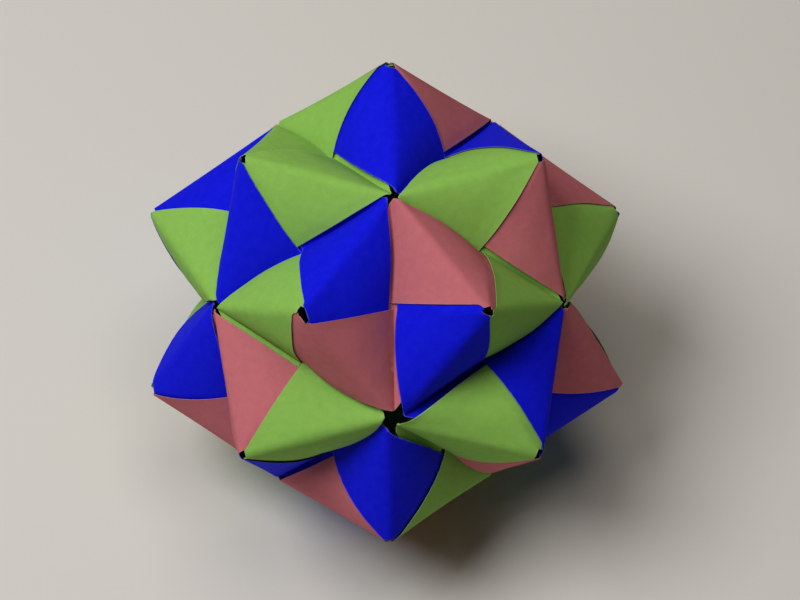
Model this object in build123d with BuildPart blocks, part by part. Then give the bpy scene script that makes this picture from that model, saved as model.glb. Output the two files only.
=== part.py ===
"""Kusudama ball of 30 interlocked paper units, each folded from one square sheet.

Every unit sits on one edge of an icosahedron and has, like the folded sheet:
  - a body, creased inwards along the icosahedron's edge (the valley crease),
  - two ridge creases, each running from a three-fold apex to a five-fold point,
  - inside each ridge a door: one sheet over the body, open at the slit, which makes a pocket,
  - outside each ridge a tab, which covers the next face and ends in that face's pocket.
The ball stands on five apexes, one five-fold point up, with z = 0 at the table.
"""

from build123d import *
from math import acos, atan2, cos, degrees, radians, sin, sqrt
import os

os.makedirs("parts", exist_ok=True)

# Driving dimensions, in millimetres.
sheet_side = 100.0  # side of the square sheet that one unit is folded from
paper = 0.1  # thickness of one layer of paper
body_layers = 3  # layers in the body
tab_layers = 4  # layers in a tab
slip = 0.1  # room between a tab and the pocket that holds it
fold_radius = 1.8  # outside radius of the soft ridge fold
puff = 0.35  # height of the bulge of a door and of the bare half of a tab
point_opening = 2.4  # from a five-fold point to the blunt end of a ridge
apex_play = 0.5  # from a neighbour's tab at a three-fold apex to the blunt start of a ridge
tab_end_play = 2.0  # how much shorter than the pocket the tab's far tip is
valley_setback = 1.3  # from the valley crease to the folded edge of a tab
slit_gap = 0.06  # between the two raw edges that face each other at the unit's centre
point_sink = 1.3  # how far the five-fold points lie inside the true icosahedron

# One colour letter for each unit, ring by ring from the top: blue, green or pink.
ring_colours = ("bgbpg", "ppggb", "gbppbbpbgp", "gggpb", "pbpbg")
colour_names = {"b": "blue", "g": "green", "p": "pink"}

# Depths below a face's plane: the door outside, the tab in the pocket, the body inside.
tab_top = paper + slip
tab_bottom = tab_top + tab_layers * paper
body_top = tab_bottom + slip
body_bottom = body_top + body_layers * paper
apex_opening = tab_bottom + slip + apex_play  # from a three-fold apex to the start of a ridge
tab_inset = fold_radius + tab_top + slip  # from a tab's side edge to the ridge beside it
body_inset = body_bottom + 2 * slip  # from a body's free edge to the ridge beside it
body_start = tab_top + 0.75 * tab_layers * paper  # from a ridge to the body that its fold carries
overrun = 3 * body_bottom  # spare length past a line that a later cut follows

# The true solid: half the sheet's side is the icosahedron's edge, and a ridge is its side.
edge = sheet_side / 2
ridge_length = edge / sqrt(2)
golden = (1 + sqrt(5)) / 2
point_radius = edge * sqrt(golden * sqrt(5)) / 2 - point_sink
tilt_point = Vector(0, 1, golden).normalized()
tilt_apex = Vector(1 / golden, 0, golden).normalized()
next_point_way = Vector(golden, 0, 1).normalized()
angle = acos(tilt_point.dot(tilt_apex))
apex_radius = point_radius * cos(angle) + sqrt(ridge_length**2 - (point_radius * sin(angle)) ** 2)

# The unit is modelled with its centre on +Z and its valley crease along Y.
point = tilt_point * point_radius
far_point = Vector(0, -point.Y, point.Z)
apex = tilt_apex * apex_radius
next_point = next_point_way * point_radius
centre = (point + far_point) * 0.5
next_centre = (point + next_point) * 0.5
ridge_way = (point - apex).normalized()


def outward(a, b, c):
    """The unit normal of the face abc that points away from the ball's centre."""
    n = (b - a).cross(c - a).normalized()
    return n if n.dot(a + b + c) > 0 else n * -1


door_normal = outward(apex, point, far_point)
next_normal = outward(apex, point, next_point)
back_normal = Vector(-door_normal.X, -door_normal.Y, door_normal.Z)
door_way = (centre - apex - ridge_way * (centre - apex).dot(ridge_way)).normalized()
valley_way = (point - far_point).normalized()
next_valley_way = (point - next_point).normalized()


def clip(polygon, start, inward):
    """The convex polygon cut down to the side of the line through start that inward points to."""
    kept = []
    for i, p in enumerate(polygon):
        q = polygon[(i + 1) % len(polygon)]
        hp = (p - start).dot(inward)
        hq = (q - start).dot(inward)
        if hp >= 0:
            kept.append(p)
        if hp * hq < 0:
            kept.append(p + (q - p) * (hp / (hp - hq)))
    return kept


def plate(polygon, normal, top, bottom):
    """A flat stack of paper layers under a face, between the depths top and bottom."""
    base = Plane(origin=polygon[0] - normal * bottom, x_dir=polygon[1] - polygon[0], z_dir=normal)
    with BuildPart() as stack:
        with BuildSketch(base):
            with BuildLine():
                flat = [base.to_local_coords(p - normal * bottom) for p in polygon]
                Polyline(*[(p.X, p.Y) for p in flat], close=True)
            make_face()
        extrude(amount=bottom - top)
    return stack.part


def face_square(middle, along, up):
    """A square in a face's plane, wide enough to be clipped to any outline there."""
    size = 2 * edge
    return [middle + along * (size * i) + up * (size * j) for i, j in ((-1, -1), (1, -1), (1, 1), (-1, 1))]


def across(line_way, normal, towards):
    """The direction in a face square to one of its lines, pointing to the given side."""
    n = normal.cross(line_way).normalized()
    return n if n.dot(towards) > 0 else n * -1


def on_arc(middle, radius, way):
    """The point of a circle in the given direction from its middle."""
    return middle + way.normalized() * radius


def line(*points):
    """A run of straight lines in the sketch's plane."""
    return Polyline(*[(p.X, p.Y) for p in points])


def arc_between(middle, radius, a, b):
    """The shorter arc of a circle between the directions a and b from its middle."""
    mid = a.normalized() + b.normalized()
    ends = [on_arc(middle, radius, w) for w in (a, mid, b)]
    return ThreePointArc(*[(p.X, p.Y) for p in ends])


def bulge(a, b, side):
    """Middle and radius of the arc from a to b that rises by puff towards side."""
    half = (b - a).length / 2
    radius = (half**2 + puff**2) / (2 * puff)
    return (a + b) * 0.5 - side * (radius - puff), radius


def petal_profile():
    """The section square to a ridge, with x along the door's face and y out of it."""
    opening = acos(-door_normal.dot(next_normal))
    tab_way = Vector(cos(opening), -sin(opening))
    tab_out = Vector(-sin(opening), -cos(opening))
    reach = (centre - apex).dot(door_way)
    corner = Vector(tab_top / sin(opening), 0)
    door_end = Vector(reach, 0)
    tab_end = tab_out * -tab_top + tab_way * reach
    door_mid, door_radius = bulge(corner, door_end, Vector(0, 1))
    tab_mid, tab_radius = bulge(corner, tab_end, tab_out)

    # The fold's arc touches both bulges from inside: its middle is where two circles cross.
    r1 = door_radius - fold_radius
    r2 = tab_radius - fold_radius
    apart = tab_mid - door_mid
    d = apart.length
    along = (r1**2 - r2**2 + d**2) / (2 * d)
    rise = sqrt(r1**2 - along**2)
    aside = Vector(-apart.Y, apart.X) * (1 / d)
    if (corner - door_mid).dot(aside) < 0:
        aside = aside * -1
    fold_mid = door_mid + apart * (along / d) + aside * rise
    to_door = fold_mid - door_mid
    to_tab = fold_mid - tab_mid

    # The tab's inner side meets the inside of the fold.
    inner = fold_radius - paper
    inset = -fold_mid.dot(tab_out) - tab_bottom
    inner_start = fold_mid + tab_out * inset - tab_way * sqrt(inner**2 - inset**2)

    # Past the valley crease the door runs straight on, far enough to reach the other half.
    end_way = door_end - door_mid
    tangent = Vector(end_way.Y, -end_way.X).normalized() * overrun
    outer_end = on_arc(door_mid, door_radius, end_way)
    inner_end = on_arc(door_mid, door_radius - paper, end_way)
    tab_inner_end = tab_out * -tab_bottom + tab_way * reach
    line(outer_end + tangent, outer_end)
    arc_between(door_mid, door_radius, end_way, to_door)
    arc_between(fold_mid, fold_radius, to_door, to_tab)
    arc_between(tab_mid, tab_radius, to_tab, tab_end - tab_mid)
    line(tab_end, tab_inner_end, inner_start, on_arc(fold_mid, inner, to_door))
    arc_between(door_mid, door_radius - paper, to_door, end_way)
    line(inner_end, inner_end + tangent, outer_end + tangent)


def petal():
    """One ridge fold with its door on one side and the bare half of its tab on the other."""
    with BuildPart() as folded:
        start = apex + ridge_way * apex_opening
        with BuildSketch(Plane(origin=start, x_dir=door_way, z_dir=ridge_way)):
            with BuildLine():
                petal_profile()
            make_face()
        extrude(amount=ridge_length - apex_opening - point_opening)
        # The raw edge of the door, the start of the next pocket and the tab's folded edge.
        split(bisect_by=Plane(origin=centre + valley_way * (slit_gap / 2), z_dir=valley_way), keep=Keep.TOP)
        split(bisect_by=Plane(origin=next_centre, z_dir=next_valley_way), keep=Keep.TOP)
        up = across(next_valley_way, next_normal, apex - next_centre)
        split(bisect_by=Plane(origin=next_centre + up * valley_setback, z_dir=up), keep=Keep.TOP)
        # The door crosses the valley crease and ends in the body's other half.
        lap = body_top + body_layers * paper / 2
        split(bisect_by=Plane(origin=centre - back_normal * lap, z_dir=back_normal), keep=Keep.TOP)
    return folded.part


def tab():
    """The flat stack of the tab, from under its ridge to its tip in the next pocket."""
    up = (apex - next_centre).normalized()
    side_way = (next_point - apex).normalized()
    outline = face_square(next_centre, next_valley_way, up)
    outline = clip(outline, next_centre + up * valley_setback, up)
    own = across(ridge_way, next_normal, next_point - point)
    outline = clip(outline, apex + own * (fold_radius + tab_top), own)
    outline = clip(outline, point - ridge_way * point_opening, ridge_way * -1)
    beside = across(side_way, next_normal, point - next_point)
    outline = clip(outline, apex + beside * tab_inset, beside)
    tip = next_point - side_way * (point_opening + tab_end_play)
    outline = clip(outline, tip, side_way * -1)
    return plate(outline, next_normal, tab_top, tab_bottom)


def body_half():
    """Half of the body: the layers under one face, from the ridges to the valley crease."""
    up = (apex - centre).normalized()
    far_way = (far_point - apex).normalized()
    outline = face_square(centre, valley_way, up)
    outline = clip(outline, centre - up * overrun, up)
    own = across(ridge_way, door_normal, far_point - point)
    outline = clip(outline, apex + own * body_start, own)
    beside = across(far_way, door_normal, point - far_point)
    outline = clip(outline, apex + beside * body_inset, beside)
    outline = clip(outline, point - ridge_way * point_opening, ridge_way * -1)
    outline = clip(outline, far_point - far_way * point_opening, far_way * -1)
    layers = plate(outline, door_normal, body_top, body_bottom)
    with BuildPart() as half:
        add(layers)
        split(bisect_by=Plane.YZ, keep=Keep.TOP)
    return half.part


def folded_unit():
    """The whole unit: both halves are the same, turned half round about the centre."""
    pieces = (body_half(), petal(), tab())
    with BuildPart() as half:
        add(pieces)
    with BuildPart() as unit:
        add(half.part)
        add(half.part.rotate(Axis.Z, 180))
    return unit.part.solid()


def icosahedron_edges():
    """The middle and the way of the 30 edges, ring by ring from the top."""
    ring = atan2(2, 1)
    adjacent = 0.3  # corners of one edge have a larger dot product than this, and others a smaller
    corners = [Vector(0, 0, 1), Vector(0, 0, -1)]
    for i in range(5):
        for z, first in ((1, 54), (-1, 18)):
            a = radians(first + 72 * i)
            corners.append(Vector(sin(ring) * cos(a), sin(ring) * sin(a), z * cos(ring)))
    edges = []
    for i, a in enumerate(corners):
        for b in corners[i + 1 :]:
            if a.dot(b) > adjacent:
                edges.append(((a + b).normalized(), (a - b).normalized()))
    return sorted(edges, key=lambda e: (-round(e[0].Z, 3), round(degrees(atan2(e[0].Y, e[0].X)), 2) % 360))


unit = folded_unit()
# The table touches the lowest corners of five ridges, the same for every unit turned to the bottom.
placed = []
for (middle, way), letter in zip(icosahedron_edges(), "".join(ring_colours)):
    turned = Plane(origin=(0, 0, 0), x_dir=way.cross(middle), z_dir=middle).location * unit
    placed.append((turned, letter))
stand = -min(shape.bounding_box().min.Z for shape, letter in placed)
for number, (shape, letter) in enumerate(placed, 1):
    name = f"unit_{number:02d}_{colour_names[letter]}"
    node = Location((0, 0, stand)) * shape
    node.label = name
    export_step(node, os.path.join("parts", name + ".step"))
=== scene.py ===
"""Kusudama ball of thirty folded sheets, dressed in Blender over its CAD frame.

Every sheet is built as it is folded: one thin sheet of coloured paper runs from the tucked strip
over the valley crease, across the door, round the soft ridge fold and down the tab, turns under at
the tab's folded edge and goes on into the neighbour's pocket. The body's layers and the tab's inner
plies lie inside it. No two sheets are folded quite alike.
"""

import math

import bmesh
import bpy
import numpy as np
from mathutils import Matrix, Vector


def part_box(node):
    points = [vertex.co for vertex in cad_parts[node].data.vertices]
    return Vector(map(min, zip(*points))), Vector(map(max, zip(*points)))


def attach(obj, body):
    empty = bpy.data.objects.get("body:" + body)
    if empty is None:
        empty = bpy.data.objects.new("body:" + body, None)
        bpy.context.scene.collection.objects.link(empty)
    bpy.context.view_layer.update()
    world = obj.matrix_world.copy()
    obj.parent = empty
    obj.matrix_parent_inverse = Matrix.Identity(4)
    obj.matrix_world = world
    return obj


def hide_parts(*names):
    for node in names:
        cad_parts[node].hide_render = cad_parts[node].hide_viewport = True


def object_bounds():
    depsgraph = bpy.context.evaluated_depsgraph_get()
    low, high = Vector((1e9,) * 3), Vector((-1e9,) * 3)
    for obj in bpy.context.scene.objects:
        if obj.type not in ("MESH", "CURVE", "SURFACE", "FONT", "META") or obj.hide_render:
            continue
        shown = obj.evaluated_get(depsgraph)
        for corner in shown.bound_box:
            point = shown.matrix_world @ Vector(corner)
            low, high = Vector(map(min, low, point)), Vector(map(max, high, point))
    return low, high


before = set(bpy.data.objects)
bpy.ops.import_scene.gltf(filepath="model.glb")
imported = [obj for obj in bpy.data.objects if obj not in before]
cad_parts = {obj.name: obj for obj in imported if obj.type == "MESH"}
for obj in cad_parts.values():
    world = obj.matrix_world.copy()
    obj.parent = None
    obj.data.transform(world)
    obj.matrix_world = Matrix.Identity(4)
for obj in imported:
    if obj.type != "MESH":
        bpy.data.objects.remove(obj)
cad_box = [list(corner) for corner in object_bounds()]

bl_info = {
    "name": "Kusudama paper ball",
    "version": (1, 0, 0),
    "blender": (4, 5, 0),
    "location": "3D View > Sidebar > Kusudama",
    "description": "Folds the thirty paper sheets of a modular ball and sets its stage",
    "category": "Add Mesh",
}

# One letter for each sheet's paper, ring by ring from the top, as the CAD nodes are numbered.
ring_papers = "bgbpg" "ppggb" "gbppbbpbgp" "gggpb" "pbpbg"
paper_names = {"b": "blue", "g": "green", "p": "pink"}
golden = (1 + math.sqrt(5)) / 2

mm_per_metre = 1000.0
metres_per_mm = 0.001
flat_unit = 100.0  # millimetres of paper across one unit of the flat coordinates


def linear(hex_colour):
    """An sRGB hex colour as the linear red, green and blue that Blender's colours are."""
    parts = [int(hex_colour[i : i + 2], 16) / 255 for i in (0, 2, 4)]
    return tuple(c / 12.92 if c <= 0.04045 else ((c + 0.055) / 1.055) ** 2.4 for c in parts)


class KusudamaSheet(bpy.types.PropertyGroup):
    side: bpy.props.FloatProperty(
        name="Sheet side", description="Side of the square that one unit is folded from",
        default=0.1, min=0.05, max=0.2, unit="LENGTH",
    )
    thickness: bpy.props.FloatProperty(
        name="Paper", description="Thickness of one layer of paper",
        default=0.0001, min=0.00005, max=0.0003, precision=5, unit="LENGTH",
    )
    slip: bpy.props.FloatProperty(
        name="Slip", description="Room between a tab and the pocket that holds it",
        default=0.0001, min=0.0, max=0.001, precision=5, unit="LENGTH",
    )
    tab_layers: bpy.props.IntProperty(
        name="Tab layers", description="Layers of paper in a tab", default=4, min=2, max=8,
    )
    point_sink: bpy.props.FloatProperty(
        name="Point sink", description="How far the five-fold points lie inside the true solid",
        default=0.0013, min=0.0, max=0.005, precision=5, unit="LENGTH",
    )


class KusudamaFolds(bpy.types.PropertyGroup):
    ridge_radius: bpy.props.FloatProperty(
        name="Ridge radius", description="Radius of the soft ridge fold where it is widest",
        default=0.0036, min=0.0005, max=0.008, precision=5, unit="LENGTH",
    )
    puff: bpy.props.FloatProperty(
        name="Puff", description="How far a door or a bare tab bulges out of its face",
        default=0.0016, min=0.0, max=0.003, precision=5, unit="LENGTH",
    )
    unevenness: bpy.props.FloatProperty(
        name="Unevenness", description="How much hand folding varies from sheet to sheet",
        default=0.22, min=0.0, max=1.0, subtype="FACTOR",
    )
    apex_opening: bpy.props.FloatProperty(
        name="Apex opening", description="From a three-fold apex to the blunt start of a ridge",
        default=0.0014, min=0.0, max=0.006, precision=5, unit="LENGTH",
    )
    valley_setback: bpy.props.FloatProperty(
        name="Valley setback", description="From the valley crease to a tab's folded edge",
        default=0.0014, min=0.0, max=0.004, precision=5, unit="LENGTH",
    )
    edge_lift: bpy.props.FloatProperty(
        name="Edge lift", description="How far a door's raw edge stands off the tab under it",
        default=0.00022, min=0.0, max=0.001, precision=5, unit="LENGTH",
    )
    seed: bpy.props.IntProperty(name="Seed", description="Which set of small differences", default=7)


class KusudamaPapers(bpy.types.PropertyGroup):
    blue: bpy.props.FloatVectorProperty(
        name="Blue", description="Royal blue dyed copy paper", subtype="COLOR", size=3,
        min=0.0, max=1.0, default=linear("0913e7"),
    )
    green: bpy.props.FloatVectorProperty(
        name="Green", description="Lime green dyed copy paper", subtype="COLOR", size=3,
        min=0.0, max=1.0, default=linear("90c458"),
    )
    pink: bpy.props.FloatVectorProperty(
        name="Pink", description="Salmon pink dyed copy paper", subtype="COLOR", size=3,
        min=0.0, max=1.0, default=linear("c86f76"),
    )


class KusudamaStage(bpy.types.PropertyGroup):
    floor: bpy.props.FloatVectorProperty(
        name="Floor", description="Colour of the plain floor", subtype="COLOR", size=3,
        min=0.0, max=1.0, default=linear("e6e3dc"),
    )
    key_power: bpy.props.FloatProperty(
        name="Key light", description="Power of the large soft light at the upper left",
        default=5.0, min=0.0, unit="POWER",
    )
    top_power: bpy.props.FloatProperty(
        name="Top light", description="Power of the weaker soft light overhead",
        default=1.65, min=0.0, unit="POWER",
    )
    camera_distance: bpy.props.FloatProperty(
        name="Camera distance", description="From the ball's centre to the camera",
        default=0.99, min=0.3, unit="LENGTH",
    )


def unit_vector(v):
    return v / np.linalg.norm(v)


class FoldPlan:
    """The creases of one sheet in its own frame, in millimetres: centre on +Z, valley along Y.

    Places on the door and tab are given flat, as (s, t): s runs along the ridge from the apex to
    the five-fold point, and t across it, positive on the door and negative on the tab.
    """

    def __init__(self, sheet, folds):
        body_plies = 3
        self.paper = sheet.thickness * mm_per_metre
        self.slip = sheet.slip * mm_per_metre
        self.stack = sheet.tab_layers * self.paper
        self.body_depth = self.paper + self.slip + self.stack + self.slip
        self.body_layers = body_plies * self.paper
        self.setback = folds.valley_setback * mm_per_metre
        # The folded edge runs on past the ridge and meets the valley crease at a right angle.
        self.point_opening = self.setback / math.sqrt(2)
        self.apex_opening = folds.apex_opening * mm_per_metre
        edge = sheet.side * mm_per_metre / 2
        self.ridge = edge / math.sqrt(2)
        point_radius = edge * math.sqrt(golden * math.sqrt(5)) / 2 - sheet.point_sink * mm_per_metre
        tilt_point = unit_vector(np.array([0, 1, golden]))
        tilt_apex = unit_vector(np.array([1 / golden, 0, golden]))
        cosine = tilt_point @ tilt_apex
        rise = self.ridge**2 - point_radius**2 * (1 - cosine**2)
        apex_radius = point_radius * cosine + math.sqrt(rise)
        self.point = tilt_point * point_radius
        far_point = self.point * np.array([1, -1, 1])
        self.apex = tilt_apex * apex_radius
        self.next_point = unit_vector(np.array([golden, 0, 1])) * point_radius
        self.centre = (self.point + far_point) / 2
        self.next_centre = (self.point + self.next_point) / 2
        self.along = unit_vector(self.point - self.apex)
        self.door_normal = self.outward(self.apex, self.point, far_point)
        self.tab_normal = self.outward(self.apex, self.point, self.next_point)
        self.back_normal = self.door_normal * np.array([-1, 1, 1])
        self.door_way = self.square_to_ridge(self.centre)
        self.tab_way = self.square_to_ridge(self.next_centre)
        self.reach = (self.centre - self.apex) @ self.door_way
        self.middle = (self.centre - self.apex) @ self.along
        self.half_valley = np.linalg.norm(self.centre - self.point)
        self.height = np.linalg.norm(self.centre - self.apex)
        # Half the angle at the ridge, and the two ways in the section square to it.
        self.half_angle = math.acos(np.clip(self.door_way @ self.tab_way, -1, 1)) / 2
        self.up = unit_vector(self.door_normal + self.tab_normal)
        self.sideways = unit_vector(self.door_way - self.tab_way)
        # Past the valley the door's sheet runs straight on to the strip tucked under the next tab.
        self.past = unit_vector(self.centre - self.apex)
        self.back_way = self.past * np.array([1, 1, -1])
        self.crease = (self.body_depth - 2 * self.slip) / -(self.past @ self.back_normal)
        # The same creases in the flat sheet, those of the next petal mirrored over the ridge.
        mirror = np.array([1, -1])
        self.flat_centre = np.array([self.middle, self.reach])
        self.flat_past = unit_vector(self.flat_centre)
        self.flat_valley = np.array([self.flat_past[1], -self.flat_past[0]])
        self.flat_next_centre = self.flat_centre * mirror
        self.next_past = self.flat_past * mirror
        self.next_valley = self.flat_valley * mirror
        side = self.next_point - self.apex
        self.flat_next_point = np.array([side @ self.along, -(side @ self.tab_way)])
        self.next_way = unit_vector(self.flat_next_point)
        self.next_beside = np.array([-self.next_way[1], self.next_way[0]])
        # At its folded edge the sheet turns round in a half circle of this length.
        self.turn = math.pi * self.stack / 2
        self.folded_edge = self.flat_next_centre - self.next_past * self.setback
        # One turn about the apex takes this petal to the next, and its places by row to the other's.
        axis, third = Vector(tilt_apex), math.tau / 3
        turned = np.array(Matrix.Rotation(third, 3, axis) @ Vector(self.point))
        if np.linalg.norm(turned - self.next_point) > self.paper:
            third = -third
        self.to_next = np.array(Matrix.Rotation(third, 3, axis)).T

    @staticmethod
    def outward(a, b, c):
        """The way square to the face abc that points out of the ball."""
        n = unit_vector(np.cross(b - a, c - a))
        return n if n @ (a + b + c) > 0 else -n

    def square_to_ridge(self, place):
        """The way from the ridge to the place, square to the ridge."""
        way = place - self.apex
        return unit_vector(way - self.along * (way @ self.along))

    def past_edge(self, flat):
        """How far flat places lie past the tab's folded edge, less than 0 before it."""
        return (flat - self.flat_next_centre) @ self.next_past + self.setback


# The start of the flat places and their two ways.
zero, s_way, t_way = np.zeros(2), np.array([1.0, 0.0]), np.array([0.0, 1.0])


def clip_flat(outline, *lines):
    """The convex flat outline cut down to the inner side of lines, each a place on it and the way in."""
    for start, inward in lines:
        kept = []
        for i, p in enumerate(outline):
            q = outline[(i + 1) % len(outline)]
            hp, hq = (p - start) @ inward, (q - start) @ inward
            if hp >= 0:
                kept.append(p)
            if hp * hq < 0:
                kept.append(p + (q - p) * (hp / (hp - hq)))
        outline = kept
    return outline


def cut_lines(start, way, steps, test=None):
    """Lines square to way, at steps along it from start; test picks by its middle what is cut."""
    return [(start + way * step, way, test) for step in steps]


def on_door(middle):
    return middle.y > 0


def on_tab(middle):
    return middle.y < 0


def flat_mesh(outlines, cuts):
    """Flat convex outlines welded together and cut along lines, as points, faces and rim edges."""
    on_line, welded = 1e-4, 2e-3
    bm = bmesh.new()
    for outline in outlines:
        bm.faces.new([bm.verts.new((p[0], p[1], 0)) for p in outline])
    bmesh.ops.remove_doubles(bm, verts=bm.verts[:], dist=on_line)
    for start, way, test in cuts:
        faces = [f for f in bm.faces if test is None or test(f.calc_center_median())]
        around = {e for f in faces for e in f.edges} | {v for f in faces for v in f.verts}
        bmesh.ops.bisect_plane(
            bm, geom=faces + list(around), plane_co=(start[0], start[1], 0),
            plane_no=(way[0], way[1], 0), dist=on_line,
        )
    bmesh.ops.remove_doubles(bm, verts=bm.verts[:], dist=welded)
    bmesh.ops.triangulate(bm, faces=[f for f in bm.faces if len(f.verts) > 4])
    bmesh.ops.recalc_face_normals(bm, faces=bm.faces[:])
    if sum(f.normal.z * f.calc_area() for f in bm.faces) < 0:
        bmesh.ops.reverse_faces(bm, faces=bm.faces[:])
    bm.verts.index_update()
    points = np.array([v.co[:2] for v in bm.verts])
    faces = [[v.index for v in f.verts] for f in bm.faces]
    loops = [loop for f in bm.faces for loop in f.loops if len(loop.edge.link_faces) == 1]
    rim = [(loop.vert.index, loop.link_loop_next.vert.index) for loop in loops]
    bm.free()
    return points, faces, rim


def wide_square(plan):
    """A flat square wider than any part of the sheet, to clip the parts from."""
    big = 2 * plan.ridge
    return [np.array(p) for p in ((-big, -big), (big, -big), (big, big), (-big, big))]


def pocket_lines(plan, inset, from_apex):
    """The lines that keep a tab clear of the next petal's soft ridge, tip and apex in its pocket."""
    tip_play, clear = 2.0, math.radians(3)
    clear_way = plan.next_beside * math.cos(clear) - plan.next_way * math.sin(clear)
    tip = plan.flat_next_point - plan.next_way * (plan.point_opening + tip_play)
    return (
        (plan.next_beside * inset, clear_way),
        (tip, -plan.next_way),
        (plan.next_way * (plan.apex_opening + from_apex), plan.next_way),
    )


def outer_template(plan):
    """The flat mesh of the outer sheet: door and tucked strip, bare tab, held tab and flap."""
    tuck, under = 4.5, 7.0  # how far the strip and the flap run on past their creases
    inset = 0.5  # from the next petal's ridge to the tab in its pocket
    slit_play = 0.04  # from the line of the slit to the raw edge
    ridge_play, end_play = 1.8, 0.15  # from the ridge and from its blunt end to the flap turned under
    apex_play = 0.1  # from the apex opening to the held tab
    end_strip = 0.2  # the worn strip at each blunt end of the ridge

    plane = wide_square(plan)
    start, end = s_way * plan.apex_opening, s_way * (plan.ridge - plan.point_opening)
    turned_edge = plan.folded_edge + plan.next_past * plan.turn
    beside_ridge, at_tip, at_apex = pocket_lines(plan, inset, apex_play)

    def turned_under(place, way):
        """The line of the sheet that comes to lie under this line once the folded edge is turned."""
        over, across = (place - plan.folded_edge) @ plan.next_past, way @ plan.next_past
        return place + plan.next_past * (plan.turn - 2 * over), way - plan.next_past * (2 * across)

    door = clip_flat(
        plane, (zero, t_way), (start, s_way), (end, -s_way),
        (plan.flat_valley * slit_play, plan.flat_valley),
        (plan.flat_centre + plan.flat_past * (plan.crease + tuck), -plan.flat_past),
        (turned_edge, -plan.next_past),
    )
    whole_tab = clip_flat(
        plane, (zero, -t_way), (end, -s_way),
        (plan.folded_edge + plan.next_past * (plan.turn + under), -plan.next_past),
    )
    flap = clip_flat(
        whole_tab, (turned_edge, plan.next_past), turned_under(t_way * -ridge_play, -t_way),
        turned_under(end - s_way * end_play, -s_way), turned_under(*beside_ridge), turned_under(*at_tip),
    )
    tab = clip_flat(whole_tab, (turned_edge, -plan.next_past))
    bare = clip_flat(tab, (start, s_way), (zero, plan.next_valley))
    held = clip_flat(tab, (zero, -plan.next_valley), beside_ridge, at_tip, at_apex)

    # Cuts lie closest together where the sheet bends most: at the ridge, the crease and the edges.
    by_ridge = (0.35, 0.7, 1.05, 1.4, 1.8, 2.2, 2.7, 3.3, 4.2, 5.4, 6.8, 8.4, 10.2, 12.2, 14.4, 16.6)
    far_tab = (-20.0, -24.0, -28.0)
    along_steps = 22
    by_crease = (-0.5, -0.22, -0.11, 0.0, 0.11, 0.22, 0.8, 1.8)
    by_slit, by_pocket = (0.18, 0.6), (0.8, 0.0, -0.8, -1.6)
    before_turn = (-2.4, -1.4, -0.5, -0.12, 0.0, plan.turn / 4, plan.turn / 2, plan.turn * 3 / 4)
    after_turn = (plan.turn, plan.turn + 2.5)
    length = plan.ridge - plan.point_opening - plan.apex_opening
    along = [plan.apex_opening + length * i / along_steps for i in range(1, along_steps)]
    cuts = []
    for t in by_ridge:
        cuts += cut_lines(zero, t_way, (t,), on_door) + cut_lines(zero, t_way, (-t,), on_tab)
    cuts += cut_lines(zero, t_way, far_tab, on_tab) + cut_lines(zero, s_way, along)
    cuts += [(start + s_way * end_strip, s_way, None), (end - s_way * end_strip, s_way, None)]
    cuts += cut_lines(plan.flat_centre, plan.flat_past, [plan.crease + w for w in by_crease], on_door)
    cuts += cut_lines(zero, plan.flat_valley, by_slit, on_door)
    cuts += cut_lines(zero, plan.next_valley, by_pocket, on_tab)
    cuts += cut_lines(plan.folded_edge, plan.next_past, before_turn)
    cuts += cut_lines(plan.folded_edge, plan.next_past, after_turn, on_tab)
    return flat_mesh([door, bare, held, flap], cuts)


def plies_template(plan):
    """The flat mesh of the tab's inner plies, a little smaller all round than the sheet over them."""
    ridge_play, end_play, edge_play, inset, from_apex = 1.6, 0.1, 0.12, 0.7, 0.5
    end = s_way * (plan.ridge - plan.point_opening)
    plies = clip_flat(
        wide_square(plan), (t_way * -ridge_play, -t_way), (end - s_way * end_play, -s_way),
        (plan.folded_edge - plan.next_past * edge_play, -plan.next_past),
        *pocket_lines(plan, inset, from_apex),
    )
    cuts = cut_lines(zero, t_way, (-3.3, -5.4, -8.4, -11.4, -14.4, -18.0, -22.0, -26.0))
    cuts += cut_lines(zero, s_way, range(4, 34, 3))
    cuts += cut_lines(zero, plan.next_valley, (0.8, -0.8))
    return flat_mesh([plies], cuts)


def body_template(plan):
    """The flat mesh of the body, as (x, y): x across the valley crease and y along it."""
    inside_ridge, end_play = 2.7, 0.1  # from the body to the ridge folds over it and to their ends
    apex = s_way * plan.height
    ridge_way = unit_vector(np.array([-plan.height, plan.half_valley]))
    far_way = ridge_way * np.array([1, -1])
    half = clip_flat(wide_square(plan), (zero, s_way))
    for way in (np.array([ridge_way[1], -ridge_way[0]]), np.array([-far_way[1], far_way[0]])):
        half = clip_flat(half, (apex - way * (plan.body_depth + inside_ridge), -way))
    reach = plan.ridge - plan.point_opening - end_play
    half = clip_flat(half, (apex + ridge_way * reach, -ridge_way), (apex + far_way * reach, -far_way))
    other_half = [-p for p in half]
    cuts = cut_lines(zero, s_way, (-0.5, -0.2, 0.0, 0.2, 0.5))
    cuts += cut_lines(zero, s_way, [x for x in range(-24, 25, 4) if x])
    cuts += cut_lines(zero, t_way, range(-20, 21, 5))
    return flat_mesh([half, other_half], cuts)


def bump(part):
    """A smooth crown: 1 at a half, and 0 at 0, at 1 and outside them."""
    part = np.clip(part, 0, 1)
    return 4 * part * (1 - part)


def soft_size(value, room):
    """The size of value with its kink at zero rounded off within room."""
    return np.sqrt(value**2 + room**2) - room


def ease(value):
    """A smooth step from 0 to 1."""
    value = np.clip(value, 0, 1)
    return value * value * (3 - 2 * value)


def door_cone(plan, s, t):
    """Height of a door that bulges by one: a cone about the point, held down at the valley crease."""
    from_point = plan.ridge - s
    turn = np.arctan2(t, np.maximum(from_point, 1e-3))
    opening = math.atan2(plan.reach, plan.ridge - plan.middle)
    out = np.hypot(from_point, t) / math.hypot(plan.ridge / 2, plan.reach)
    return bump(turn / opening) * out


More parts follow.
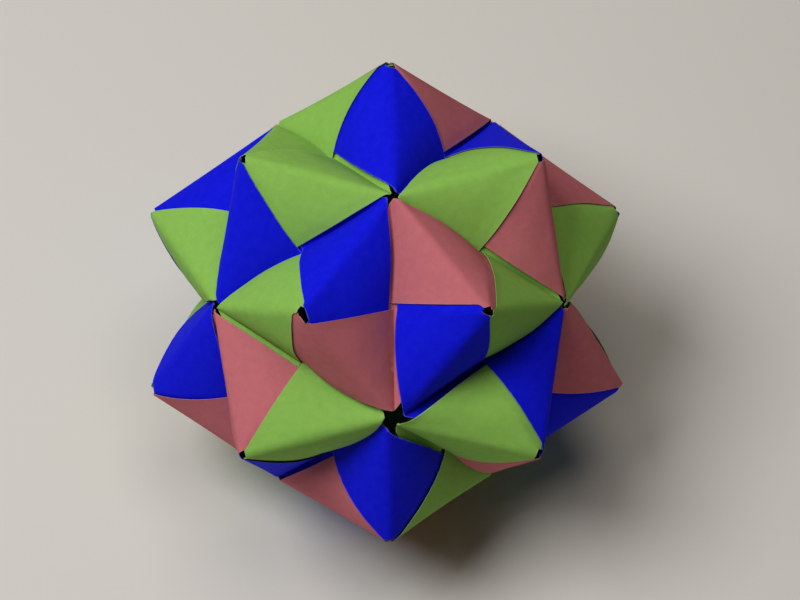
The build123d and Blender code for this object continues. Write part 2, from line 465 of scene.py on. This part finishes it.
# What the photograph shows of some petals, by unit and half, in millimetres: how far the tip lies
# back from its point and to the door's side of it, the same for the apex end, how far the door's
# raw edge lies back from its line at the apex and at the valley, how far the door bulges, and how
# far the tab's folded edge reaches out towards the valley crease.
seen_petals = {
    (1, 0): {"tip": (0.4, 0.6), "apex": (0.0, 0.6), "slit": (0.0, 0.0), "door_puff": 2.0},
    (2, 0): {"tip": (-0.5, 0.4), "apex": (0.0, 0.0), "slit": (0.2, 0.2)},
    (3, 0): {"tip": (-0.4, 0.7), "apex": (0.2, -0.2), "slit": (1.2, 0.2)},
    (4, 0): {"tip": (-0.4, -0.4), "apex": (0.2, 0.2), "slit": (1.5, 1.0)},
    (5, 0): {"tip": (0.1, 0.1), "apex": (0.0, 0.0), "slit": (0.2, 0.2)},
    (2, 1): {"tip": (-0.4, -0.4), "apex": (-0.4, -0.6), "slit": (2.2, 0.6)},
    (7, 0): {"tip": (-0.4, 0.0), "apex": (-0.4, -0.6), "slit": (0.0, 0.2)},
    (5, 1): {"tip": (-0.3, 0.3), "apex": (0.0, 0.0), "slit": (1.6, 0.3)},
    (10, 1): {"tip": (-0.3, 0.3), "apex": (0.3, 0.0), "slit": (1.5, 0.7), "door_puff": 2.4},
    (6, 1): {"tip": (-0.3, 0.3), "apex": (0.0, 0.0), "door_puff": 2.1},
    (17, 0): {"tip": (-0.3, 0.3), "apex": (0.0, 0.0), "door_puff": 2.1},
    (15, 0): {"tip": (-0.3, 0.3), "apex": (0.2, 0.8), "slit": (0.2, 0.2)},
    (11, 1): {"tip": (-0.3, 1.0), "apex": (0.0, 0.8), "slit": (0.2, 0.2), "door_puff": 2.5},
    (20, 0): {"tip": (-0.3, 0.2), "apex": (0.0, -1.2), "slit": (0.2, 0.2)},
    (16, 0): {"tip": (-0.3, 1.5), "apex": (0.2, 1.2), "slit": (0.2, 0.2)},
    (4, 1): {"tip": (0.3, 1.2), "apex": (1.8, -1.0), "slit": (0.9, 0.1)},
    (9, 0): {"tip": (-0.3, 0.3), "apex": (0.0, 0.0), "slit": (2.0, 0.3)},
    (9, 1): {"tip": (0.6, 0.5), "apex": (0.0, 0.3), "slit": (0.2, 0.2), "reach_out": 1.2},
    (18, 1): {"tip": (-0.3, 0.3), "apex": (0.0, 0.0), "slit": (0.5, 1.3)},
    (18, 0): {"tip": (1.9, 1.2), "apex": (0.0, 0.0), "slit": (0.0, 0.0), "door_puff": 2.2},
    (19, 0): {"tip": (0.5, 2.3), "apex": (0.0, 0.8), "slit": (0.2, 0.2), "door_puff": 1.9},
    (19, 1): {"tip": (-0.3, 0.3), "apex": (0.0, 0.0), "slit": (1.3, 0.8)},
    (10, 0): {"tip": (0.5, 2.2), "apex": (0.2, 1.0), "slit": (0.8, 0.2)},
}


# How far the petals stand proud round each five-fold point, in the order of ball_corners, in mm.
proud_points = (1.2, 0.0, 1.8, 0.8, 1.2, 0.8, 0.3, 0.8, 1.2, 1.9, 0.4, 1.4)


class HandFold:
    """How one petal came out of the folder's hands, all in millimetres."""

    def __init__(self, dice, folds):
        def uneven(value, share=1):
            return value * (1 + share * folds.unevenness * dice.uniform(-1, 1))

        self.door_puff = uneven(folds.puff * mm_per_metre)
        self.tab_puff = self.door_puff
        # The ridge's radius half way, at its point and at its apex.
        self.round = uneven(folds.ridge_radius * mm_per_metre)
        self.round_point = uneven(0.9)
        self.round_apex = uneven(1.5)
        self.lift = uneven(folds.edge_lift * mm_per_metre, share=3)
        # How far the blunt ends and the raw edge lie off their lines, as in seen_petals.
        self.tip = np.array([dice.uniform(-1.0, 0.1), dice.uniform(-0.2, 0.8)])
        self.apex = np.array([dice.uniform(-0.2, 0.5), dice.uniform(-0.5, 0.5)])
        self.slit = (dice.uniform(0.0, 0.9), dice.uniform(0.0, 0.4))
        # Long waves, each with its pace in radians per millimetre, its heading and its phase.
        waves = 5
        self.wave = [(dice.uniform(0.2, 0.75), dice.uniform(0, math.tau), dice.uniform(0, math.tau))
                     for _ in range(waves)]
        self.wave_height = uneven(0.035)
        self.reach_out = 0.0
        self.next_hand = self

    def cockle(self, s, t):
        """The slight waviness of a sheet that was creased and unfolded again; the ridge has none."""
        flat_by_ridge = 3
        total = np.zeros_like(s)
        for pace, heading, phase in self.wave:
            total += np.sin(pace * (s * math.cos(heading) + t * math.sin(heading)) + phase)
        return self.wave_height * total * ease(np.abs(t) / flat_by_ridge)


def settled(plan, hand, seat):
    """How far, along and aside, places lie off the crease pattern: most at the blunt ends."""
    reach, fall_off = 30, 1.3
    at_tip = np.clip(1 - np.hypot(plan.ridge - seat[:, 0], seat[:, 1]) / reach, 0, 1) ** fall_off
    at_apex = np.clip(1 - np.hypot(seat[:, 0], seat[:, 1]) / reach, 0, 1) ** fall_off
    return np.outer(at_tip, hand.tip * np.array([-1, 1])) + np.outer(at_apex, hand.apex)


def lay_door(plan, hand, seat, drop, sunk, lift):
    """Where places of a door and its tucked strip end up, sunk below the bulging outside."""
    moved = settled(plan, hand, seat)
    s, t = (seat + moved).T
    past = (seat + moved - plan.flat_centre) @ plan.flat_past
    # The strip stops short of the next petal's ridge, the more so the deeper it is tucked.
    full_width, taper = 1.2, 0.8
    within = plan.ridge - plan.point_opening - taper * np.maximum(past - plan.crease - full_width, 0)
    s = s - np.maximum(s - within, 0) * ease(past - plan.crease)
    past = np.stack([s, t], 1) @ plan.flat_past - plan.flat_centre @ plan.flat_past
    # The sheet crosses the valley crease with a small bend.
    bend, calm = 0.18, 2
    over = past - plan.crease
    turned = ease((over + bend) / (2 * bend))
    beyond = np.maximum(over, 0) - bend / 4 * np.exp(-((over / bend) ** 2))
    place = plan.apex + np.outer(s, plan.along) + np.outer(t, plan.door_way)
    place = place + np.outer(np.minimum(past, plan.crease) - past, plan.past)
    place = place + np.outer(beyond, plan.back_way)
    wavy = (1 - np.exp(-((past / calm) ** 2))) * (past < 0)
    up = hand.door_puff * door_cone(plan, seat[:, 0], seat[:, 1]) + lift
    up = up + hand.cockle(s, seat[:, 1]) * wavy - drop
    normal = plan.door_normal * (1 - turned)[:, None] + plan.back_normal * turned[:, None]
    normal /= np.linalg.norm(normal, axis=1)[:, None]
    return place + normal * (up * (1 - turned) - sunk)[:, None]


def fold_outer(plan, hand, flat, depth):
    """Where the flat places of the outer sheet end up, depth below its coloured outside."""
    # The raw edge of the door lies back a little from its line, and lifts off the tab under it.
    back_reach, by_ridge, lift_reach = 6, 2, 1.3
    along_slit = np.clip(flat @ plan.flat_past / np.linalg.norm(plan.flat_centre), 0, 1)
    back = hand.slit[0] * (1 - along_slit) + hand.slit[1] * along_slit
    back *= ease(1 - flat @ plan.flat_valley / back_reach) * (flat[:, 1] > 0) * ease(flat[:, 1] / by_ridge)
    flat = flat + np.outer(back, plan.flat_valley)
    from_slit = np.maximum(flat @ plan.flat_valley - back, 0)
    lift = hand.lift * np.exp(-from_slit / lift_reach) * bump(along_slit)

    # The folded edge: the sheet turns round and comes back under the plies. What has turned under
    # takes the height of the place above it.
    bend = plan.stack / 2
    over = plan.past_edge(flat)
    angle = np.clip(over / bend, 0, math.pi)
    run = np.where(over > 0, bend * np.sin(angle) - np.maximum(over - math.pi * bend, 0), over)
    drop = bend * (1 - np.cos(angle))
    seat = flat + np.outer(run - over - depth * np.sin(angle), plan.next_past)
    sunk = depth * np.cos(angle)
    on_tab_side = flat[:, 1] < 0
    # Between slit and point the folded edge of some tabs reaches nearer to the valley crease.
    pull_reach = 8
    to_edge = -plan.past_edge(seat)
    pulled = hand.reach_out * bump(seat @ plan.next_valley / plan.half_valley)
    pulled *= ease(1 - to_edge / pull_reach) * on_tab_side
    seat = seat + np.outer(pulled, plan.next_past)

    # From its own ridge to the slit the tab goes over to the way that the next petal settled.
    from_ridge, to_slit = np.maximum(-seat[:, 1], 0), np.maximum(seat @ plan.next_valley, 0)
    part = ease(from_ridge / (from_ridge + to_slit + 1e-6)) * on_tab_side
    beside = np.stack([seat @ plan.next_way, seat @ plan.next_beside], 1)
    own, next_one = settled(plan, hand, seat), settled(plan, hand.next_hand, beside)
    next_aside = next_one[:, 1]
    next_one = np.outer(next_one[:, 0], plan.next_way) + np.outer(next_aside, plan.next_beside)
    moved = own * (1 - part)[:, None] + next_one * part[:, None]
    s, t = (seat + moved).T
    aside = own[:, 1]

    # The bare tab bulges like a barrel and rests on the strip along its folded edge. It dips below
    # the next door from a short way before the slit to a lip past it.
    soft, before, lip, edge_strip, ridge_strip = 0.5, 1.0, 0.6, 2.6, 2.5
    into_pocket = -(seat @ plan.next_valley)
    near = -soft * np.logaddexp(-np.abs(seat[:, 1]) / soft, -beside[:, 1] / soft)
    slack = plan.paper + 1.5 * plan.slip
    at_edge = 0.9 * ease(1 - to_edge / edge_strip)
    dip = slack * np.maximum(ease((into_pocket + before) / (before + lip)), at_edge)
    up = hand.tab_puff * bump(near / plan.reach) - dip * ease(from_ridge / ridge_strip)
    up += hand.cockle(s, seat[:, 1]) * (1 - ease((into_pocket + before) / (2 * before))) - drop

    # Where the ridge lies aside, the tab bends gently down to it from the slit and the folded edge.
    edge_room = 2.5
    free = 1 / (1 / np.maximum(to_slit, 1e-3) + 1 / (np.maximum(to_edge, 0) + edge_room))
    to_ridge = aside * (1 - ease(from_ridge / (from_ridge + free)))
    tab = plan.apex + np.outer(s, plan.along) - np.outer(t, plan.tab_way)
    tab = tab + np.outer(to_ridge, plan.door_way + plan.tab_way) + np.outer(up - sunk, plan.tab_normal)
    door = lay_door(plan, hand, seat, drop, sunk, lift)
    place = round_ridge(plan, hand, np.where(on_tab_side[:, None], tab, door), seat[:, 0], aside)

    # In the next pocket the tab lies right under that petal's door, whatever its shape.
    held = lay_door(plan, hand.next_hand, beside, drop, sunk + slack, 0)
    held = round_ridge(plan, hand.next_hand, held, beside[:, 0], next_aside) @ plan.to_next
    at_apex, more, apex_reach, past_slit = 0.1, 1.5, 8, 0.2
    room = at_apex + more * ease(np.hypot(seat[:, 0], seat[:, 1]) / apex_reach)
    inside = ease((into_pocket + room) / (room + past_slit)) * on_tab_side
    return place * (1 - inside)[:, None] + held * inside[:, None]


def round_ridge(plan, hand, place, s, aside):
    """Lowers the sharp roof of a ridge to its soft fold, tight at the point and wide half way."""
    least_radius, fullness, lean = 0.3, 0.8, 0.21
    part = np.clip(s / plan.ridge, 0, 1)
    ends = hand.round_apex * (1 - part) + hand.round_point * part
    radius = np.maximum(ends, least_radius) + (hand.round - ends) * np.sin(np.pi * part) ** fullness
    x = np.abs((place - plan.apex) @ plan.sideways - aside * (plan.door_way @ plan.sideways))
    # Bulging faces meet at their ridge less steeply than flat ones.
    slope = math.pi / 2 - plan.half_angle - math.atan(lean * max(hand.door_puff, hand.tab_puff))
    inside = np.minimum(x, radius * math.sin(slope))
    roof = -inside * math.tan(slope)
    arc = -radius / math.cos(slope) + np.sqrt(radius**2 - inside**2)
    return place - np.outer(np.maximum(roof - arc, 0), plan.up)


def fold_body(plan, flat, depth):
    """Where the flat places of the body end up, depth below the body's outer layer."""
    crease_room, bend = 0.25, 0.4
    x, y = flat[:, 0], flat[:, 1]
    across = soft_size(x, crease_room)
    lean = np.clip(x / bend, -1, 1)
    place = plan.centre + np.stack([-np.sign(x) * across * plan.past[0], y, -across * plan.past[2]], 1)
    rise = np.where(np.abs(lean) < 1, 1.0, plan.door_normal[2])
    normal = np.stack([lean * plan.door_normal[0], np.zeros_like(x), rise], 1)
    normal /= np.linalg.norm(normal, axis=1)[:, None]
    return place - normal * ((plan.body_depth + depth) / normal[:, 2] * plan.door_normal[2])[:, None]


class SheetMesh:
    """Gathers the shells of one unit: places, faces, which are raw edges, and flat coordinates."""

    def __init__(self):
        self.places, self.flats, self.wear = [], [], []
        self.faces, self.raw = [], []
        self.count = 0

    def add(self, outside, inside, template, wear, half_turn, flip):
        """Adds a shell of paper with its two sides and its rim; half_turn is for the other half."""
        points, faces, rim = template
        places = np.concatenate([outside, inside])
        if half_turn:
            places = places * np.array([-1, -1, 1])
        n, base = len(points), self.count
        self.places.append(places)
        other_half = np.array([150.0, 60.0])  # so that both halves don't show the same fibres
        self.flats.append(np.concatenate([points, points]) + other_half * half_turn)
        self.wear.append(np.concatenate([wear, wear]))
        for f in faces:
            top = [base + i for i in f]
            under = [base + n + i for i in reversed(f)]
            self.faces += [top[::-1], under[::-1]] if flip else [top, under]
            self.raw += [0, 0]
        for a, b in rim:
            quad = [base + b, base + a, base + n + a, base + n + b]
            self.faces.append(quad[::-1] if flip else quad)
            self.raw.append(1)
        self.count += 2 * n

    def build(self, name, placement):
        """The unit's mesh in its place in the ball, in metres."""
        places = np.concatenate(self.places) @ np.array(placement.to_3x3()).T
        # Round each five-fold point the petals stand a little proud, but not where the ball rests.
        proud_reach = 36
        for corner, proud in zip(ball_corners(), proud_points):
            along = places @ corner
            away = np.linalg.norm(places - np.outer(along, corner), axis=1)
            share = np.clip(1 - away / proud_reach, 0, 1) * (along > 0)
            places = places + np.outer(proud * share, corner)
        places = places * metres_per_mm + np.array(placement.translation)
        # The ball's own weight presses its lowest points flat on the table.
        soft = 0.0006
        low = places[:, 2] < soft
        places[low, 2] = soft * np.exp((places[low, 2] - soft) / soft)
        mesh = bpy.data.meshes.new(name)
        mesh.from_pydata(places.tolist(), [], self.faces)
        mesh.polygons.foreach_set("material_index", self.raw)
        mesh.polygons.foreach_set("use_smooth", [True] * len(self.faces))
        flats = np.concatenate(self.flats) / flat_unit
        corners = np.empty(len(mesh.loops), np.int32)
        mesh.loops.foreach_get("vertex_index", corners)
        layer = mesh.uv_layers.new(name="Flat sheet")
        layer.data.foreach_set("uv", flats[corners].astype(np.float32).ravel())
        # Paler edges, partly painted highlight and partly rubbed dye: raw door edges, folded edges and blunt
        # ends.
        mark = mesh.attributes.new("wear", "FLOAT", "POINT")
        mark.data.foreach_set("value", np.concatenate(self.wear).astype(np.float32))
        mesh.set_sharp_from_angle(angle=math.radians(50))
        mesh.validate()
        return mesh


def sheet_highlight_and_wear(plan, flat):
    """How much paler the sheet is painted: a painted highlight where edges catch the light, and dye rubbed
    off. Wholly on a raw door edge, partly on folded edges and blunt ends.
    """
    near, raw_strip = 0.05, 0.1
    on_fold, on_ends = 0.35, 0.7
    s, t = flat[:, 0], flat[:, 1]
    raw = np.where((t >= 0) & (flat @ plan.flat_valley < raw_strip), 1.0, 0.0)
    over = plan.past_edge(flat)
    folded = np.where((over > -near) & (over < plan.turn * 0.8), on_fold, 0.0)
    at_point = s > plan.ridge - plan.point_opening - near
    at_apex = np.abs(s - plan.apex_opening) < near
    ends = np.where(at_point | at_apex, on_ends, 0)
    return np.maximum(np.maximum(raw, folded), ends)


def ball_corners():
    """The ways of the twelve five-fold points: top, bottom, and by turns the upper and lower ring."""
    ring = math.atan2(2, 1)
    corners = [Vector((0, 0, 1)), Vector((0, 0, -1))]
    for i in range(5):
        for z, first in ((1, 54), (-1, 18)):
            a = math.radians(first + 72 * i)
            out = math.sin(ring)
            corners.append(Vector((out * math.cos(a), out * math.sin(a), z * math.cos(ring))))
    return corners


def ball_edges():
    """Middle and way of the thirty edges, in the order that the CAD nodes are numbered."""
    corners = ball_corners()
    adjacent = 0.3
    edges = []
    for i, a in enumerate(corners):
        for b in corners[i + 1 :]:
            if a.dot(b) > adjacent:
                edges.append(((a + b).normalized(), (a - b).normalized()))

    def from_the_top(edge):
        middle = edge[0]
        return -round(middle.z, 3), round(math.degrees(math.atan2(middle.y, middle.x)), 2) % 360

    return sorted(edges, key=from_the_top)


def placements():
    """The matrix of each unit, from its own frame to its place in the ball, in metres."""
    stand = (cad_box[0][2] + cad_box[1][2]) / 2
    made = []
    for middle, way in ball_edges():
        x = way.cross(middle).normalized()
        y = middle.cross(x)
        turn = Matrix((x, y, middle)).transposed().to_4x4()
        made.append(Matrix.Translation((0, 0, stand)) @ turn)
    return made


def hands_for_all(plan, folds):
    """One HandFold for each petal, and each bare tab no higher than the door that it goes under."""
    dice = np.random.default_rng(folds.seed)
    places = placements()
    hands = [[HandFold(dice, folds) for _ in range(2)] for _ in places]
    for (number, side), seen in seen_petals.items():
        for name, value in seen.items():
            setattr(hands[number - 1][side], name, np.array(value))
    halves = []
    for place, pair in zip(places, hands):
        for side, hand in enumerate(pair):
            turned = place @ Matrix.Rotation(math.pi * side, 4, "Z")
            spots = [turned @ (Vector(p) * metres_per_mm) for p in (plan.centre, plan.apex, plan.next_centre)]
            halves.append((hand, *spots))
    same, below = 0.001, 0.06
    for hand, _, apex, next_centre in halves:
        for other, centre, other_apex, _ in halves:
            if (centre - next_centre).length < same and (other_apex - apex).length < same:
                hand.next_hand = other
                hand.tab_puff = other.door_puff - below
    return places, hands


def node(tree, kind, settings=None, **links):
    """Adds a shader node; settings are its own values, and links its inputs, each a socket or value."""
    made = tree.nodes.new(kind)
    for name, value in (settings or {}).items():
        setattr(made, name, value)
    for name, value in links.items():
        by_number = name[0] == "i" and name[1:].isdigit()
        socket = made.inputs[int(name[1:]) if by_number else name.replace("_", " ")]
        if isinstance(value, bpy.types.NodeSocket):
            tree.links.new(value, socket)
        else:
            socket.default_value = value
    return made


def paler(colour):
    """The paler colour painted on edges: a painted highlight where they catch the light, and the white pulp
    where the dye has rubbed off.
    """
    return tuple(0.3 + 0.7 * c for c in colour)


def bare_material(name):
    """A new material with an empty tree, its tree and its output."""
    material = bpy.data.materials.new(name)
    material.use_nodes = True
    tree = material.node_tree
    tree.nodes.clear()
    return material, tree, tree.nodes.new("ShaderNodeOutputMaterial")


def cut_paper_edge(name, colour):
    """The cut edge of dyed copy paper: dull torn fibres, painted paler than the faces, partly for the inner
    pulp and partly as a painted highlight where the thin edge catches the light.
    """
    material, tree, output = bare_material(name)
    # Paler than the faces: partly the inner pulp, partly a painted highlight.
    mixed = tuple(0.45 * c + 0.55 * p for c, p in zip(colour, paler(colour)))
    paper = node(tree, "ShaderNodeBsdfPrincipled", Base_Color=(*mixed, 1), Roughness=0.95)
    tree.links.new(paper.outputs["BSDF"], output.inputs["Surface"])
    return material


def dyed_copy_paper(name, colour):
    """Dyed 80 g/m2 copy paper: matt and slightly cloudy, with short felted fibres."""
    material, tree, output = bare_material(name)
    flat = node(tree, "ShaderNodeUVMap", {"uv_map": "Flat sheet"}).outputs["UV"]
    # Cloudy formation of the pulp, about 2 mm across.
    cloud_size = 2.0
    clouds = node(tree, "ShaderNodeTexNoise", {"noise_dimensions": "2D"}, Vector=flat,
                  Scale=flat_unit / cloud_size, Detail=3.0, Roughness=0.6).outputs["Fac"]
    # Fibres are 1 mm long and 0.02 mm wide, drawn here 0.25 mm wide, so that they show.
    fibre_length, fibre_width, fibre_lean = 0.8, 0.25, 0.7
    stretched = node(tree, "ShaderNodeMapping", Vector=flat, Rotation=(0, 0, fibre_lean),
                     Scale=(1, fibre_length / fibre_width, 1)).outputs["Vector"]
    fibres = node(tree, "ShaderNodeTexNoise", {"noise_dimensions": "2D"}, Vector=stretched,
                  Scale=flat_unit / fibre_length, Detail=4.0, Roughness=0.7).outputs["Fac"]
    lighter = tuple(min(1, c * 1.05 + 0.004) for c in colour)
    darker = tuple(c * 0.95 for c in colour)
    tone = node(tree, "ShaderNodeMath", {"operation": "MULTIPLY_ADD"}, i0=fibres, i1=0.5, i2=clouds)
    spread = node(tree, "ShaderNodeMapRange", Value=tone.outputs["Value"], From_Min=0.45,
                  From_Max=1.05).outputs["Result"]
    dyed = node(tree, "ShaderNodeMix", {"data_type": "RGBA"}, i0=spread, i6=(*darker, 1), i7=(*lighter, 1))
    # On raw and folded edges the sheet is painted paler in flecks: a painted highlight where the edges catch
    # the light, and dye rubbed off.
    wear = node(tree, "ShaderNodeAttribute", {"attribute_name": "wear"}).outputs["Fac"]
    flecked = node(tree, "ShaderNodeMath", {"operation": "MULTIPLY"}, i0=wear, i1=spread)
    highlit_and_worn = node(tree, "ShaderNodeMix", {"data_type": "RGBA"}, i0=flecked.outputs["Value"],
                i6=dyed.outputs[2], i7=(*paler(colour), 1))
    rough = node(tree, "ShaderNodeMapRange", Value=fibres, To_Min=0.78, To_Max=0.92)
    raised = node(tree, "ShaderNodeMath", {"operation": "MULTIPLY_ADD"}, i0=clouds, i1=0.6, i2=fibres)
    relief = node(tree, "ShaderNodeBump", Strength=0.15, Distance=0.00004, Height=raised.outputs["Value"])
    # Open fibres scatter nearly all of the gloss that the cellulose's own IOR would give.
    paper = node(tree, "ShaderNodeBsdfPrincipled", Base_Color=highlit_and_worn.outputs[2], IOR=1.5,
                 Roughness=rough.outputs["Result"], Normal=relief.outputs["Normal"],
                 Specular_IOR_Level=0.1)
    tree.links.new(paper.outputs["BSDF"], output.inputs["Surface"])
    return material


class KUSUDAMA_OT_fold_sheets(bpy.types.Operator):
    """Folds every sheet of one paper and puts it in its place in the ball"""

    bl_idname = "kusudama.fold_sheets"
    bl_label = "Fold sheets"

    paper: bpy.props.EnumProperty(
        name="Paper", description="Which paper's sheets are folded",
        items=[(n, n.title(), f"The ten {n} sheets") for n in paper_names.values()],
    )

    def execute(self, context):
        scene = context.scene
        plan = FoldPlan(scene.kusudama_sheet, scene.kusudama_folds)
        outer, inner, body = outer_template(plan), plies_template(plan), body_template(plan)
        places, hands = hands_for_all(plan, scene.kusudama_folds)
        colour = tuple(getattr(scene.kusudama_papers, self.paper))
        face = dyed_copy_paper(f"{self.paper} dyed copy paper", colour)
        rim_paper = cut_paper_edge(f"{self.paper} cut paper edge", colour)
        # Where the sheet is painted paler: a painted highlight on its edges, and dye rubbed off.
        wear = sheet_highlight_and_wear(plan, outer[0])
        flip = np.cross(plan.along, plan.door_way) @ plan.door_normal < 0
        ply_gap = 0.02
        ply_depths = plan.paper + ply_gap, plan.stack - plan.paper - ply_gap
        # The tips stand proud of the CAD node, but never by as much.
        far_off = 0.005
        for number, (place, letter) in enumerate(zip(places, ring_papers), 1):
            if paper_names[letter] != self.paper:
                continue
            sheets = SheetMesh()
            for side, hand in enumerate(hands[number - 1]):
                outside, inside = (fold_outer(plan, hand, outer[0], depth) for depth in (0.0, plan.paper))
                sheets.add(outside, inside, outer, wear, side, flip)
                outside, inside = (fold_outer(plan, hand, inner[0], depth) for depth in ply_depths)
                sheets.add(outside, inside, inner, np.zeros(len(inner[0])), side, flip)
            outside, inside = (fold_body(plan, body[0], depth) for depth in (0.0, plan.body_layers))
            sheets.add(outside, inside, body, np.zeros(len(body[0])), 0, False)
            name = f"folded_sheet_{number:02d}_{self.paper}"
            piece = bpy.data.objects.new(name, sheets.build(name, place))
            piece.data.materials.append(face)
            piece.data.materials.append(rim_paper)
            context.collection.objects.link(piece)
            node_name = f"unit_{number:02d}_{self.paper}"
            spots = np.array([v.co for v in piece.data.vertices])
            off = max(np.abs(np.array(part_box(node_name)) - (spots.min(0), spots.max(0))).ravel())
            if off > far_off:
                raise RuntimeError(f"{name} lies {off * mm_per_metre:.1f} mm off the CAD node {node_name}")
            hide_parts(node_name)
            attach(piece, "root")
        return {"FINISHED"}


def matt_floor(colour):
    """Smooth painted board: matt and plain, so that it only carries the ball's soft shadow."""
    material = bpy.data.materials.new("pale matt floor")
    material.use_nodes = True
    paint = material.node_tree.nodes["Principled BSDF"]
    paint.inputs["Base Color"].default_value = (*colour, 1)
    paint.inputs["Roughness"].default_value = 0.9
    return material


def soft_light(name, place, target, power, colour):
    """Hangs a round soft light at place and turns it to the target."""
    light = bpy.data.lights.new(name, "AREA")
    light.shape = "DISK"
    light.size = 0.45
    light.energy = power
    light.color = colour
    lamp = bpy.data.objects.new(name, light)
    lamp.location = place
    lamp.rotation_euler = (target - place).to_track_quat("-Z", "Y").to_euler()
    bpy.context.collection.objects.link(lamp)


class KUSUDAMA_OT_set_stage(bpy.types.Operator):
    """Lays the plain floor, hangs the soft lights and sets the camera at the photograph's angle"""

    bl_idname = "kusudama.set_stage"
    bl_label = "Set stage"

    def execute(self, context):
        scene = context.scene
        stage = scene.kusudama_stage
        middle = Vector([(a + b) / 2 for a, b in zip(*cad_box)])

        floor_mesh = bpy.data.meshes.new("floor")
        half = 1.5
        corners = [(-half, -half, 0), (half, -half, 0), (half, half, 0), (-half, half, 0)]
        floor_mesh.from_pydata(corners, [], [(0, 1, 2, 3)])
        floor = bpy.data.objects.new("floor", floor_mesh)
        floor_mesh.materials.append(matt_floor(tuple(stage.floor)))
        context.collection.objects.link(floor)

        # A little warm light from all round, as a room gives.
        world = bpy.data.worlds.new("studio")
        world.use_nodes = True
        background = world.node_tree.nodes["Background"]
        background.inputs["Color"].default_value = (1, 0.93, 0.85, 1)
        background.inputs["Strength"].default_value = 0.02
        scene.world = world
        key_place, top_place = middle + Vector((-0.41, -0.04, 0.77)), middle + Vector((0.04, 0.09, 0.86))
        soft_light("key light", key_place, middle, stage.key_power, (0.98, 0.99, 1))
        soft_light("top light", top_place, middle, stage.top_power, (1, 0.92, 0.82))
        scene.view_settings.view_transform = "Standard"

        # The photograph looks down on one sheet: across (0, 1, golden) is up, tipped by a few degrees.
        up_tilt, side_tilt = math.radians(2.8), math.radians(2.5)
        upward = math.atan2(1, golden)
        to_world = Matrix.Rotation(upward, 3, "X")
        tipped = Matrix.Rotation(up_tilt, 3, "X") @ Matrix.Rotation(side_tilt, 3, "Y")
        turn = to_world @ tipped.transposed()
        right, up, back = turn.col
        # From the ball's middle to a sharp apex, in metres and in the photograph's pixels.
        apex_reach, apex_reach_px = 0.05824, 248.3
        photo_width_px = 800
        per_pixel = apex_reach / apex_reach_px
        # The picture's middle lies a little to the right of the ball's and below it.
        right_px, below_px = 14.4, 0.4
        off = right * (right_px * per_pixel) - up * (below_px * per_pixel)
        camera = bpy.data.cameras.new("camera")
        # The apexes are blunt, so the ball is a little smaller than the sharp solid that was measured.
        blunt = 1.022
        frame_width = photo_width_px * per_pixel
        camera.lens = camera.sensor_width * stage.camera_distance / frame_width * blunt
        camera.clip_start, camera.clip_end = 0.01, 10
        viewer = bpy.data.objects.new("camera", camera)
        place = middle + back * stage.camera_distance + off
        viewer.matrix_world = Matrix.Translation(place) @ turn.to_4x4()
        context.collection.objects.link(viewer)
        scene.camera = viewer
        return {"FINISHED"}


class KUSUDAMA_PT_panel(bpy.types.Panel):
    """Lists the steps of the ball and the sizes and colours that can be changed"""

    bl_idname = "KUSUDAMA_PT_panel"
    bl_label = "Kusudama ball"
    bl_space_type = "VIEW_3D"
    bl_region_type = "UI"
    bl_category = "Kusudama"

    def draw(self, context):
        for group_name in groups:
            group = getattr(context.scene, group_name)
            box = self.layout.box()
            for name in group.__annotations__:
                box.prop(group, name)
        for paper in paper_names.values():
            button = self.layout.operator("kusudama.fold_sheets", text=f"Fold {paper} sheets")
            button.paper = paper
        self.layout.operator("kusudama.set_stage")


classes = (KusudamaSheet, KusudamaFolds, KusudamaPapers, KusudamaStage,
           KUSUDAMA_OT_fold_sheets, KUSUDAMA_OT_set_stage, KUSUDAMA_PT_panel)
groups = {"kusudama_sheet": KusudamaSheet, "kusudama_folds": KusudamaFolds,
          "kusudama_papers": KusudamaPapers, "kusudama_stage": KusudamaStage}


def register():
    for cls in classes:
        bpy.utils.register_class(cls)
    for name, group in groups.items():
        setattr(bpy.types.Scene, name, bpy.props.PointerProperty(type=group))


def unregister():
    for name in groups:
        delattr(bpy.types.Scene, name)
    for cls in reversed(classes):
        bpy.utils.unregister_class(cls)


def main():
    register()
    for paper in paper_names.values():
        bpy.ops.kusudama.fold_sheets(paper=paper)
    bpy.ops.kusudama.set_stage()


if __name__ == "__main__":
    main()
